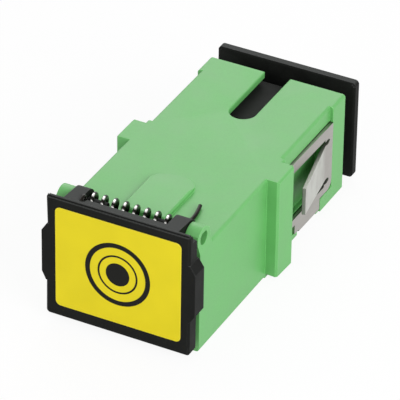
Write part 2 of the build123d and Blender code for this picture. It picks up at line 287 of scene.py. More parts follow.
def moulded_plastic(name, colour, roughness, specular, painted_edge_highlight, grain, radius):
    """Satin injection-moulded plastic: mottled, finely grained, with a painted highlight along its edges."""
    material, nodes = paint(name)
    normal, edge = nodes.soft_edges(radius)
    cloud = nodes.cloud(2.2 * MM, detail=4.0)
    speck = nodes.noise(0.11 * MM, detail=2.0)
    body = nodes.mix(cloud, tint(colour, 0.95), tint(colour, 1.04))
    body = nodes.mix(nodes.around(speck, 0.5, 0.72) * 0.4, body, tint(colour, 0.84))
    # A painted highlight: the edges are mixed towards a lighter green.
    body = nodes.mix(edge * painted_edge_highlight, body, tint(colour, 1.8))
    height = nodes.noise(0.09 * MM, detail=2.0) + 0.8 * nodes.noise(0.5 * MM, detail=2.0)
    nodes.surface({
        "Base Color": body,
        "Roughness": roughness + 0.08 * cloud - 0.1 * edge,
        "Specular IOR Level": specular,
        "Normal": nodes.bump(height, grain, under=normal),
    })
    return material


def black_plastic(name, colour, dust_and_top_light_above):
    """Black moulded plastic: nearly matt, with dust and painted top light on its upper faces, and a painted
    highlight along its edges.
    """
    material, nodes = paint(name)
    normal, edge = nodes.soft_edges(0.06 * MM)
    cloud = nodes.cloud(1.6 * MM, detail=4.0)
    speck = nodes.noise(0.1 * MM, detail=2.0)
    upwards = nodes.along("Normal", "Z")
    level = nodes.around(nodes.along("Object", "Z"), dust_and_top_light_above, dust_and_top_light_above + 0.2 * MM)
    # Upward faces turn pale grey: partly dust, partly painted top light, fullest above the given height.
    dust = nodes.around(upwards, 0.6, 0.95) * (0.6 + 0.25 * cloud + 0.35 * speck) * (0.25 + 0.75 * level)
    body = nodes.mix(cloud, tint(colour, 0.85), tint(colour, 1.15))
    body = nodes.mix(dust, body, (0.054, 0.0575, 0.055, 1.0))
    body = nodes.mix(nodes.around(speck, 0.58, 0.75) * 0.5, body, tint(colour, 2.2))
    # A painted highlight along the edges, strongest where they face up.
    rim = edge * (0.2 + 0.8 * nodes.around(upwards, 0.3, 0.7))
    body = nodes.mix(rim, body, (0.1, 0.103, 0.1, 1.0))
    height = nodes.noise(0.09 * MM, detail=2.0) + 0.6 * nodes.noise(0.45 * MM, detail=2.0)
    nodes.surface({
        "Base Color": body,
        "Roughness": 0.48 + 0.1 * cloud - 0.12 * edge,
        "Specular IOR Level": 0.06,
        "Normal": nodes.bump(height, 0.005 * MM, under=normal),
    })
    return material


def rolled_steel(name, colour):
    """Cold-rolled sheet: fine lines along the strip, a little uneven, with painted shade on its sheared
    edges and a painted highlight in streaks on its sprung sides.
    """
    material, nodes = paint(name)
    normal, edge = nodes.soft_edges(0.04 * MM)
    lines = nodes.noise(0.06 * MM, detail=3.0, stretch=(1.0, 0.06, 1.0))
    cloud = nodes.cloud(1.6 * MM)
    sheet = nodes.mix(nodes.around(lines, 0.35, 0.65), tint(colour, 0.92), tint(colour, 1.06))
    sheet = nodes.mix(cloud * 0.5, sheet, tint(colour, 0.94))
    # A painted highlight: the sprung sides are lighter, with brighter streaks.
    across = nodes.along("Object", "X")
    sprung = nodes.around(across * across, (6.3 * MM) ** 2, (6.45 * MM) ** 2)
    streaks = nodes.noise(0.35 * MM, detail=2.0, stretch=(1.0, 0.25, 0.25))
    painted_highlight = sprung * nodes.around(streaks, 0.35, 0.6)
    sheet = nodes.mix(sprung * 0.35 + painted_highlight * 0.38, sheet, (0.62, 0.635, 0.59, 1.0))
    # Painted shade on the sheet's sheared edges and on faces that look along Y.
    ahead = nodes.along("Normal", "Y")
    sheet = nodes.mix(edge * 0.6, sheet, tint(colour, 0.45))
    sheet = nodes.mix(nodes.around(ahead * ahead, 0.4, 0.7) * 0.45, sheet, tint(colour, 0.35))
    nodes.surface({
        "Base Color": sheet,
        "Metallic": 1.0,
        "Roughness": 0.34 + 0.1 * lines + 0.05 * cloud,
        "Normal": nodes.bump(lines, 0.0015 * MM, under=normal),
    })
    return material


def spring_steel(name, colour, hinge):
    """Dark spring wire, with painted highlights on top of each turn and where its front meets the door, and
    a faint painted sheen on its front.
    """
    material, nodes = paint(name)
    lines = nodes.noise(0.07 * MM, detail=3.0)
    depth = nodes.along("Object", "Y")
    height = nodes.along("Object", "Z")
    upwards = nodes.along("Normal", "Z")
    forwards = 0 - nodes.along("Normal", "Y")
    # Painted highlights on each turn's crest and at its front near the door, and a faint painted sheen where
    # the wire faces forwards.
    offset = depth - hinge.y + 0.1 * MM
    crest = 1.0 - nodes.around(offset * offset, (0.08 * MM) ** 2, (0.25 * MM) ** 2)
    crest = crest * nodes.around(height, hinge.z + 0.5 * MM, hinge.z + 0.6 * MM)
    crest = crest * nodes.around(upwards, 0.6, 0.9)
    flank = nodes.around(forwards, 0.45, 0.9) * 0.12
    front = nodes.around(hinge.y - depth, 0.56 * MM, 0.68 * MM) * nodes.around(forwards, 0.25, 0.5)
    front = front * nodes.around(height, hinge.z + 0.2 * MM, hinge.z + 0.3 * MM)
    painted_highlight = nodes.around(crest + front + flank, 0.0, 1.0)
    skin = nodes.mix(lines, tint(colour, 0.8), tint(colour, 1.3))
    nodes.surface({
        "Base Color": nodes.mix(painted_highlight, skin, (0.8, 0.79, 0.76, 1.0)),
        "Metallic": 1.0,
        "Roughness": 0.16 + 0.08 * lines,
        "Normal": nodes.bump(lines, 0.001 * MM),
    })
    return material


def polished_ceramic(name, colour):
    """Polished zirconia: white, dense and glossy, with a faint cloud in it."""
    material, nodes = paint(name)
    normal = nodes.soft_edges(0.03 * MM)[0]
    cloud = nodes.cloud(0.8 * MM)
    nodes.surface({
        "Base Color": nodes.mix(cloud, tint(colour, 0.96), colour),
        "Roughness": 0.12 + 0.06 * cloud,
        "Coat Weight": 0.3 + 0.2 * cloud,
        "Normal": normal,
    })
    return material


def printed_film(name, colour):
    """Glossy label film: an even colour under a clear coat, not quite flat."""
    material, nodes = paint(name)
    wave = nodes.noise(3.0 * MM, detail=1.0)
    fleck = nodes.noise(0.08 * MM, detail=2.0)
    body = nodes.mix(nodes.around(wave, 0.35, 0.65), tint(colour, 0.975), tint(colour, 1.02))
    body = nodes.mix(nodes.around(fleck, 0.6, 0.8) * 0.35, body, tint(colour, 0.88))
    normal, edge = nodes.soft_edges(0.05 * MM)
    body = nodes.mix(edge * 0.6, body, (1.0, 0.9, 0.3, 1.0))
    nodes.surface({
        "Base Color": body,
        "Roughness": 0.4 + 0.06 * fleck,
        "Specular IOR Level": 0.12,
        "Coat Weight": 0.02 + 0.04 * wave,
        "Coat Roughness": 0.2,
        "Normal": nodes.bump(wave, 0.004 * MM, strength=0.6, under=normal),
    })
    return material


def black_ink(name, colour):
    """Printing ink: matt black with fine pores."""
    material, nodes = paint(name)
    pores = nodes.noise(0.07 * MM, detail=2.0)
    nodes.surface({
        "Base Color": nodes.mix(nodes.around(pores, 0.5, 0.75), colour, tint(colour, 2.2)),
        "Roughness": 0.42 + 0.1 * pores,
        "Specular IOR Level": 0.1,
        "Normal": nodes.bump(pores, 0.001 * MM),
    })
    return material


# Making and placing pieces

def dress(node, material):
    """Puts a material on a CAD node."""
    piece = frame["nodes"][node]
    if not piece.material_slots:
        raise RuntimeError(f"{node} has no material slot")
    for slot in piece.material_slots:
        slot.material = material


def start_modelling():
    """Deselects everything, so that an operator acts only on the new piece."""
    bpy.ops.object.select_all(action="DESELECT")


def pick(piece):
    """Makes a piece the active one, and the only one selected."""
    start_modelling()
    bpy.context.view_layer.objects.active = piece
    piece.select_set(True)


def apply_place():
    """Writes the selected piece's place, turn and scale into its mesh."""
    bpy.ops.object.transform_apply(location=True, rotation=True, scale=True)


def finish_piece(name, material, body=None):
    """Names the active piece, applies its place and gives it its material and body."""
    piece = bpy.context.active_object
    piece.name = name
    apply_place()
    piece.data.materials.clear()
    piece.data.materials.append(material)
    if body:
        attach(piece, body)
    return piece


def reshaped(node, name):
    """A copy of a CAD node as one closed skin of whole faces, ready to be reshaped."""
    piece = bpy.data.objects.new(name, frame["nodes"][node].data.copy())
    bpy.context.scene.collection.objects.link(piece)
    pick(piece)
    bpy.ops.object.mode_set(mode="EDIT")
    bpy.ops.mesh.select_all(action="SELECT")
    bpy.ops.mesh.remove_doubles(threshold=0.001 * MM)
    bpy.ops.mesh.customdata_custom_splitnormals_clear()
    bpy.ops.mesh.dissolve_limited(angle_limit=radians(0.5))
    bpy.ops.object.mode_set(mode="OBJECT")
    return piece


def choose(piece, kind, parts, chosen):
    """Selects a piece's chosen vertices, edges or faces and no others, and stays in edit mode."""
    bpy.context.view_layer.objects.active = piece
    bpy.ops.object.mode_set(mode="EDIT")
    bpy.ops.mesh.select_mode(type=kind)
    bpy.ops.mesh.select_all(action="DESELECT")
    bpy.ops.object.mode_set(mode="OBJECT")
    for part in getattr(piece.data, parts):
        part.select = chosen(part)
    bpy.ops.object.mode_set(mode="EDIT")


def slide(piece, chosen, shift, turn=0.0, centre=(0, 0, 0)):
    """Moves the vertices whose place in millimetres is chosen, and may turn them about the vertical."""
    choose(piece, "VERT", "vertices", lambda vertex: chosen(*(vertex.co / MM)))
    bpy.ops.transform.translate(value=shift)
    if turn:
        bpy.ops.transform.rotate(value=turn, orient_axis="Z", center_override=centre)
    bpy.ops.object.mode_set(mode="OBJECT")


def round_edges(piece, chosen, radius):
    """Rounds the edges whose two ends, in millimetres, are both chosen."""
    places = [vertex.co / MM for vertex in piece.data.vertices]
    choose(piece, "EDGE", "edges", lambda edge: all(chosen(*places[end]) for end in edge.vertices))
    bpy.ops.mesh.bevel(offset=radius, segments=3, affect="EDGES")
    bpy.ops.object.mode_set(mode="OBJECT")


def soften(piece, width):
    """Breaks the sharp edges of the active piece."""
    rim = piece.modifiers.new("rim", "BEVEL")
    rim.width = width
    rim.segments = 2
    rim.limit_method = "ANGLE"
    bpy.ops.object.modifier_apply(modifier="rim")


def combine(piece, tool, operation):
    """Cuts a solid out of a piece, or joins it on."""
    joint = piece.modifiers.new("joint", "BOOLEAN")
    joint.object = tool
    joint.operation = operation
    joint.solver = "EXACT"
    pick(piece)
    bpy.ops.object.modifier_apply(modifier="joint")
    bpy.data.objects.remove(tool)


def block(piece, low, high, operation="DIFFERENCE"):
    """Cuts a block out of a piece, or joins it on, between two corners in millimetres."""
    low, high = Vector(low) * MM, Vector(high) * MM
    start_modelling()
    bpy.ops.mesh.primitive_cube_add(size=1, location=(low + high) / 2)
    tool = bpy.context.active_object
    tool.scale = high - low
    apply_place()
    combine(piece, tool, operation)


def side_blocks(piece, low, high, operation="DIFFERENCE"):
    """The same block on the right and, mirrored, on the left."""
    block(piece, low, high, operation)
    block(piece, (-high[0], low[1], low[2]), (-low[0], high[1], high[2]), operation)


def dress_shape(piece, material, body, node):
    """Shades a reshaped copy, dresses it and lets it stand for its CAD node."""
    pick(piece)
    bpy.ops.object.shade_smooth_by_angle(angle=radians(32))
    finish_piece(piece.name, material, body)
    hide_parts(node)


def thicken_selection(depth):
    """In edit mode, pulls every face of a flat shape out along Y and turns the normals outwards."""
    bpy.ops.mesh.select_all(action="SELECT")
    bpy.ops.mesh.extrude_region_move(TRANSFORM_OT_translate={"value": (0, depth, 0)})
    bpy.ops.mesh.select_all(action="SELECT")
    bpy.ops.mesh.normals_make_consistent(inside=False)


def printed_disc(name, radius, stroke, material):
    """A disc of ink on the label, or a ring if it has a stroke."""
    design = bpy.context.scene.adapter_label
    low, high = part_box("door_label")
    middle = (low + high) / 2
    start_modelling()
    bpy.ops.mesh.primitive_circle_add(
        vertices=design.ring_facets, radius=radius, fill_type="NGON",
        location=(middle.x, high.y - design.film_thickness, middle.z), rotation=(pi / 2, 0, 0),
    )
    apply_place()
    bpy.ops.object.mode_set(mode="EDIT")
    if stroke:
        bpy.ops.mesh.select_all(action="SELECT")
        bpy.ops.mesh.inset(thickness=stroke)
        bpy.ops.mesh.delete(type="FACE")
    thicken_selection(-design.ink_thickness)
    bpy.ops.object.mode_set(mode="OBJECT")
    return finish_piece(name, material, "shutter")


# What a user may change

def ColourProperty(name, description, shade):
    """A colour, with its alpha."""
    return FloatVectorProperty(
        name=name, description=description, subtype="COLOR", size=4, min=0, max=1, default=(*shade, 1.0))


def LengthProperty(name, description, size):
    """A length in metres."""
    return FloatProperty(name=name, description=description, default=size, unit="LENGTH", precision=6)


def AngleProperty(name, description, degrees):
    """An angle, from its size in degrees."""
    return FloatProperty(name=name, description=description, default=radians(degrees), subtype="ANGLE")


def PowerProperty(name, description, watts):
    """The power of a lamp."""
    return FloatProperty(name=name, description=description, default=watts, min=0, unit="POWER")


class AdapterColours(bpy.types.PropertyGroup):
    """Base colours of the adapter's pieces."""

    housing: ColourProperty("Housing", "Green of the moulded housing", (0.131, 0.446, 0.124))
    insert: ColourProperty("Inserts", "White of the latch inserts in the ports", (0.72, 0.73, 0.68))
    sleeve: ColourProperty("Sleeve", "White of the ceramic sleeve", (0.86, 0.84, 0.79))
    black: ColourProperty("Shutter and Cap", "Black of the shutter door and the dust cap", (0.0105,
                          0.011, 0.0102))
    clip: ColourProperty("Clip", "Grey of the rolled sheet", (0.42, 0.405, 0.38))
    spring: ColourProperty("Spring", "Dark skin of the spring wire", (0.013, 0.012, 0.01))
    film: ColourProperty("Label Film", "Yellow of the label", (0.81, 0.675, 0.0155))
    ink: ColourProperty("Label Ink", "Black of the label's print", (0.008, 0.008, 0.007))


class AdapterShape(bpy.types.PropertyGroup):
    """What the finished mouldings and clip have beyond the plain solids."""

    side_rise: LengthProperty("Side Rise",
                              "How far above the underside the flange and collar stop at their sides",
                      0.44 * MM)
    flange_left: LengthProperty("Flange Left", "How far the flange's left side moves out", 0.08 * MM)
    flange_right: LengthProperty("Flange Right", "How far the flange's right side moves out", 0.04 * MM)
    flange_foot: LengthProperty("Flange Foot", "How far the flange's foot moves down", 0.05 * MM)
    flange_slope: LengthProperty("Flange Slope", "How far the flange's foot slopes down to the rear",
                                 0.16 * MM)
    collar_inset: LengthProperty("Collar Inset", "How far the sides of the collar move in", 0.15 * MM)
    collar_reach: LengthProperty("Collar Reach", "How far the collar's rear face moves back", 0.25 * MM)
    seat_fill: LengthProperty("Seat Fill",
                              "Length of the block that closes the clip's seat at the rear", 0.65 * MM)
    foot_block: LengthProperty("Foot Block", "How far the blocks before the clip's web stand out",
                               0.15 * MM)
    ear_drop: LengthProperty("Ear Drop", "How far the hinge ears move down", 0.12 * MM)
    ear_crown: LengthProperty("Ear Crown", "How far the tops of the ears move down as well", 0.08 * MM)
    slot_rounding: LengthProperty("Slot Rounding", "Radius of the upper edge of the rear keyway",
                                  0.13 * MM)
    cover_corner: LengthProperty("Cover Corner", "Radius of the front keyway cover's rear corners",
                                 1.75 * MM)
    clip_spread: LengthProperty("Clip Spread", "How far the sides of the clip move out", 0.2 * MM)
    clip_turn: AngleProperty("Clip Turn", "How far each side of the clip opens towards the rear", 0.8)
    clip_shorten: LengthProperty("Clip Rear", "How far the rear edge of the clip moves forward",
                                 0.42 * MM)
    clip_advance: LengthProperty("Clip Front", "How far the front edge of the clip moves forward",
                                 0.22 * MM)
    clip_play: LengthProperty("Clip Play", "Gap between the clip's rear edge and its seat", 0.03 * MM)
    slit_hole: LengthProperty("Slit Hole", "Radius of the hole that ends each slit of the wings",
                              0.24 * MM)
    slit_stretch: FloatProperty(
        name="Slit Stretch", description="How much longer than high that hole is", default=1.7, min=1)
    door_drop: LengthProperty("Door Drop", "How far the door's lower edge moves down", 0.15 * MM)
    door_tilt: LengthProperty("Door Tilt", "How much further the right end of that edge moves down",
                              0.03 * MM)
    door_left: LengthProperty("Door Left", "How far the door's left edge moves out", 0.1 * MM)
    knuckle_widen: LengthProperty("Knuckle", "How far the right knuckle reaches in", 0.2 * MM)
    stub_radius: LengthProperty("Stub Pin", "Radius of the pins in the ears", 0.59 * MM)
    boss_radius: LengthProperty("Boss", "Radius of the bosses that carry the coil's ends", 0.38 * MM)
    boss_end: LengthProperty("Boss End", "From the middle of the door to the end of each boss",
                             2.2 * MM)
    cap_widen: LengthProperty("Cap Width", "How far each side of the cap's plate moves out", 0.12 * MM)
    cap_raise: LengthProperty("Cap Top", "How far the top of the cap's plate moves up", 0.1 * MM)
    cap_drop: LengthProperty("Cap Bottom", "How far the bottom of the cap's plate moves down",
                             0.28 * MM)
    cap_front: LengthProperty("Cap Front", "How much narrower the chamfer before the cap's rim is",
                              0.13 * MM)
    cap_rear: LengthProperty("Cap Rear", "How much narrower the chamfer behind the cap's rim is",
                             0.03 * MM)


class AdapterSpring(bpy.types.PropertyGroup):
    """Sizes of the torsion spring that closes the shutter."""

    wire: LengthProperty("Wire", "Diameter of the wire", 0.34 * MM)
    coil_radius: LengthProperty("Coil Radius", "From the pin's axis to the middle of the wire",
                                0.85 * MM)
    pitch: LengthProperty("Pitch", "From one turn to the next", 0.944 * MM)
    even_turns: FloatProperty(
        name="Even Turns", description="Turns at the full pitch", default=7.5, min=1)
    closing_turns: FloatProperty(
        name="Closing Turns", description="Turns at the door's end, where the pitch closes up", default=0.75,
        min=0.25)
    closing: LengthProperty("Closing", "How fast the pitch closes up, per turn squared", 0.6185 * MM)
    half_length: LengthProperty("Half Length", "From the middle of the coil to each end", 3.72 * MM)
    shift: LengthProperty("Shift", "How far the coil sits to the left", 0.1 * MM)
    sag: LengthProperty("Sag", "How far the coil hangs below the pin's axis", 0.1 * MM)
    hook_sink: LengthProperty("Hook Sink", "How far the hook lies down in its groove", 0.13 * MM)
    points_per_turn: IntProperty(
        name="Points per Turn", description="Points of the wire's curve in one turn", default=32, min=8)


class AdapterLabel(bpy.types.PropertyGroup):
    """Sizes of the label on the door."""

    film_thickness: LengthProperty("Film", "Thickness of the film", 0.065 * MM)
    ink_thickness: LengthProperty("Ink", "How far the print stands proud of the film", 0.012 * MM)
    corner: LengthProperty("Corner", "Radius of the film's corners", 0.45 * MM)
    outer_ring: LengthProperty("Outer Ring", "Outer radius of the thick ring", 2.9 * MM)
    outer_stroke: LengthProperty("Outer Stroke", "Width of the thick ring's line", 0.42 * MM)
    inner_ring: LengthProperty("Inner Ring", "Outer radius of the thin ring", 1.78 * MM)
    inner_stroke: LengthProperty("Inner Stroke", "Width of the thin ring's line", 0.16 * MM)
    dot: LengthProperty("Dot", "Radius of the disc in the middle", 1.05 * MM)
    ring_facets: IntProperty(
        name="Ring Facets", description="Sides of each printed circle", default=96, min=16)


class AdapterStudio(bpy.types.PropertyGroup):
    """Camera and light."""

    azimuth: AngleProperty("Azimuth", "Turn of the camera to the right of the shutter", 26.8316)
    elevation: AngleProperty("Elevation", "Angle of the camera above the floor", 33.6782)
    roll: AngleProperty("Roll", "Tilt of the camera about its line of sight", 0.911)
    camera_place: FloatVectorProperty(
        name="Camera", description="Where the camera stands", subtype="TRANSLATION", size=3,
        default=(121.7513 * MM, -241.5051 * MM, 180.2241 * MM))
    lens: FloatProperty(
        name="Lens", description="Focal length on a sensor 36 mm wide", default=358.2, unit="CAMERA")
    room_level: FloatProperty(
        name="Room Light", description="Even light from all round", default=0.43, min=0)
    key_power: PowerProperty("Key Light", "Power of the soft light above and behind", 0.36)
    fill_power: PowerProperty("Fill Light", "Power of the soft light on the right", 0.84)
    front_power: PowerProperty("Front Light", "Power of the soft light in front", 0.2)
    spot_power: PowerProperty("Small Lights", "Power of each small light that glints on the wire", 0.06)


# One operator for each piece

class ADAPTER_OT_housing(bpy.types.Operator):
    """Shapes the housing's flange, collar and clip seats, and gives it satin green plastic"""

    bl_idname = "adapter.housing"
    bl_label = "Finish the Housing"

    def execute(self, context):
        shape = context.scene.adapter_shape
        housing = reshaped("housing", "housing_moulding")
        foot = UNDERSIDE + shape.side_rise / MM
        self.shape_collar(housing, shape, foot)
        self.shape_flange(housing, shape, foot)
        slide(housing, lambda x, y, z: y < EAR_ZONE and z > EAR_ROOT, (0, 0, -shape.ear_drop))
        slide(housing, lambda x, y, z: y < EAR_ZONE and z > EAR_CROWN, (0, 0, -shape.ear_crown))
        for side in (-1, 1):
            self.round_cover(housing, side, shape.cover_corner)
        block(housing, *KEYWAY_GAP)
        round_edges(housing, lambda x, y, z: z > ROOF - NEAR and abs(x) < KEYWAY_EDGE and y > KEYWAY_FRONT,
                    shape.slot_rounding)
        material = moulded_plastic("satin_green_plastic", context.scene.adapter_colours.housing,
                                   roughness=0.42, specular=0.62, painted_edge_highlight=0.55, grain=0.006 * MM,
                                   radius=0.07 * MM)
        dress_shape(housing, material, "adapter", "housing")
        return {"FINISHED"}

    def shape_collar(self, housing, shape, foot):
        """Moves the collar's sides and rear, closes the clip's seat and raises the collar's sides."""
        for side in (-1, 1):
            slide(housing, lambda x, y, z: side * x > CLIP_OUTSIDE and y > COLLAR_FRONT - NEAR,
                  (-side * shape.collar_inset, 0, 0))
        slide(housing, lambda x, y, z: y > REAR_MOUTH, (0, shape.collar_reach, 0))
        collar_side = COLLAR_SIDE - shape.collar_inset / MM
        seat_rear = CLIP_REAR + (shape.clip_play - shape.clip_shorten) / MM
        fill_rear = seat_rear + shape.seat_fill / MM
        side_blocks(housing, (SEAT_FLOOR - SINK / 2, seat_rear, SEAT_LOW - SINK),
                    (collar_side, fill_rear, SEAT_HIGH + SINK), "UNION")
        side_blocks(housing, (RECESS_SIDE - SINK, CHANNEL_REAR, foot),
                    (collar_side, seat_rear, SEAT_LOW), "UNION")
        side_blocks(housing, (RECESS_SIDE, COLLAR_FRONT - SINK, UNDERSIDE - CLEAR), (BESIDE, BEHIND, foot))

    def shape_flange(self, housing, shape, foot):
        """Raises the flange's sides, slopes their feet and adds the blocks before the clip's web."""
        side_blocks(housing, (BODY_SIDE, -FLANGE_REAR - CLEAR, UNDERSIDE - CLEAR),
                    (BESIDE, FLANGE_REAR + CLEAR, foot))
        slide(housing, lambda x, y, z: x < -FLANGE_EDGE, (-shape.flange_left, 0, 0))
        slide(housing, lambda x, y, z: x > FLANGE_EDGE, (shape.flange_right, 0, 0))
        for start, drop in ((-FLANGE_ZONE, shape.flange_foot), (0, shape.flange_slope)):
            slide(housing, lambda x, y, z: abs(x) > BODY_SIDE + SINK and start < y < FLANGE_ZONE
                  and z < foot + CLEAR, (0, 0, -drop))
        side_blocks(housing, (RECESS_SIDE - SINK, FLANGE_REAR, foot),
                    (RECESS_SIDE + shape.foot_block / MM, FOOT_BLOCK_REAR, FOOT_BLOCK_TOP), "UNION")

    def round_cover(self, housing, side, radius):
        """Rounds one rear corner of the keyway cover that stands on the roof."""
        corner = Vector((side * COVER_SIDE, COVER_END, 0)) * MM
        centre = corner - Vector((side * radius, radius, 0))
        above = Vector((0, 0, (ROOF + 0.5) * MM))
        start_modelling()
        bpy.ops.mesh.primitive_cube_add(size=1, location=(corner + centre) / 2 + above)
        tool = bpy.context.active_object
        tool.scale = (radius + CLEAR * MM, radius + CLEAR * MM, 1.0 * MM)
        tool.location += Vector((side, 1, 0)) * CLEAR / 2 * MM
        apply_place()
        start_modelling()
        bpy.ops.mesh.primitive_cylinder_add(vertices=96, radius=radius, depth=4 * MM,
                                            location=centre + Vector((0, 0, ROOF * MM)))
        drum = bpy.context.active_object
        apply_place()
        combine(tool, drum, "DIFFERENCE")
        combine(housing, tool, "DIFFERENCE")


class ADAPTER_OT_port_inserts(bpy.types.Operator):
    """Gives the latch inserts and the alignment sleeve inside the ports their finishes"""

    bl_idname = "adapter.port_inserts"
    bl_label = "Finish the Inserts and Sleeve"

    def execute(self, context):
        colours = context.scene.adapter_colours
        white = moulded_plastic("white_insert_plastic", colours.insert, roughness=0.45, specular=0.5,
                                painted_edge_highlight=0.1, grain=0.005 * MM, radius=0.05 * MM)
        dress("front_latch_insert", white)
        dress("rear_latch_insert", white)
        dress("alignment_sleeve", polished_ceramic("zirconia", colours.sleeve))
        return {"FINISHED"}


class ADAPTER_OT_panel_clip(bpy.types.Operator):
    """Springs the panel clip's sides out, bores its slit ends and gives it rolled steel"""

    bl_idname = "adapter.panel_clip"
    bl_label = "Finish the Panel Clip"

    def execute(self, context):
        shape = context.scene.adapter_shape
        clip = reshaped("panel_clip", "panel_clip_sheet")
        inside, outside = CLIP_SIDE_ZONE
        slide(clip, lambda x, y, z: y > CLIP_REAR_ZONE, (0, -shape.clip_shorten, 0))
        slide(clip, lambda x, y, z: y < CLIP_FRONT_ZONE, (0, -shape.clip_advance, 0))
        side_blocks(clip, *CLIP_GUSSET, "UNION")
        for side in (-1, 1):
            slide(clip, lambda x, y, z: inside < side * x < outside and z > CLIP_BEND,
                  (side * shape.clip_spread, 0, 0), side * shape.clip_turn,
                  (side * RECESS_SIDE * MM, CLIP_MIDDLE * MM, 0))
        for height in (-SLIT_HEIGHT, SLIT_HEIGHT):
            start_modelling()
            bpy.ops.mesh.primitive_cylinder_add(
                vertices=32, radius=shape.slit_hole, depth=THROUGH * MM,
                location=(0, 0, height * MM), rotation=(0, pi / 2, 0),
            )
            apply_place()
            bpy.context.active_object.scale.y = shape.slit_stretch
            bpy.context.active_object.location.y = SLIT_END * MM
            apply_place()
            combine(clip, bpy.context.active_object, "DIFFERENCE")
        material = rolled_steel("rolled_clip_steel", context.scene.adapter_colours.clip)
        dress_shape(clip, material, "adapter", "panel_clip")
        return {"FINISHED"}


class ADAPTER_OT_shutter(bpy.types.Operator):
    """Shapes the shutter door and its two stub pins, in black plastic"""

    bl_idname = "adapter.shutter"
    bl_label = "Finish the Shutter and Pin"

    def execute(self, context):
        shape = context.scene.adapter_shape
        door = reshaped("shutter_door", "shutter_moulding")
        for (start, corner, middle), drop in zip(LOWER_EDGE, (shape.door_drop, shape.door_tilt)):
            slide(door, lambda x, y, z: x > start and y < DOOR_BACK + NEAR and z < corner
                  and (abs(x) > DOOR_CORNER or z < middle), (0, 0, -drop))
        for share, start, low, high in LEFT_EDGE:
            slide(door, lambda x, y, z: x < start and low < z < high, (-share * shape.door_left, 0, 0))
        slide(door, lambda x, y, z: abs(x - KNUCKLE_INSIDE) < NEAR, (-shape.knuckle_widen, 0, 0))
        for low, high, rise in RIM_STEPS:
            slide(door, lambda x, y, z: abs(y - RIM_BACK) < NEAR and low < z < high, (0, 0, rise * MM))
        block(door, *RIM_CUT)
        side_blocks(door, *SHOULDER_CUT)
        block(door, *HOOK_CUT)
        black = black_plastic("black_door_plastic", context.scene.adapter_colours.black,
                              dust_and_top_light_above=-10 * MM)
        dress_shape(door, black, "shutter", "shutter_door")
        self.turn_pins(shape, black)
        return {"FINISHED"}

    def turn_pins(self, shape, material):
        """One stub pin in each ear, with a thinner boss inside the coil."""
        hinge = Vector(frame["joints"][0]["pos_m"])
        inner, outer = STUB_INSIDE * MM, STUB_OUTSIDE * MM
        pins = []
        for side in (-1, 1):
            start_modelling()
            bpy.ops.mesh.primitive_cylinder_add(
                vertices=40, radius=shape.stub_radius, depth=outer - inner, end_fill_type="NGON",
                location=(side * (inner + outer) / 2, hinge.y, hinge.z), rotation=(0, pi / 2, 0),
            )
            pin = bpy.context.active_object
            apply_place()
            choose(pin, "FACE", "polygons", lambda face: side * face.normal.x < -0.9)
            bpy.ops.mesh.inset(thickness=shape.stub_radius - shape.boss_radius)
            bpy.ops.mesh.extrude_region_move(
                TRANSFORM_OT_translate={"value": (side * (shape.boss_end - inner), 0, 0)})
            bpy.ops.object.mode_set(mode="OBJECT")
            pins.append(pin)
        pick(pins[0])
        pins[1].select_set(True)
        bpy.ops.object.join()
        soften(pins[0], 0.05 * MM)
        pins[0].name = "stub_pins"
        dress_shape(pins[0], material, "adapter", "hinge_pin")


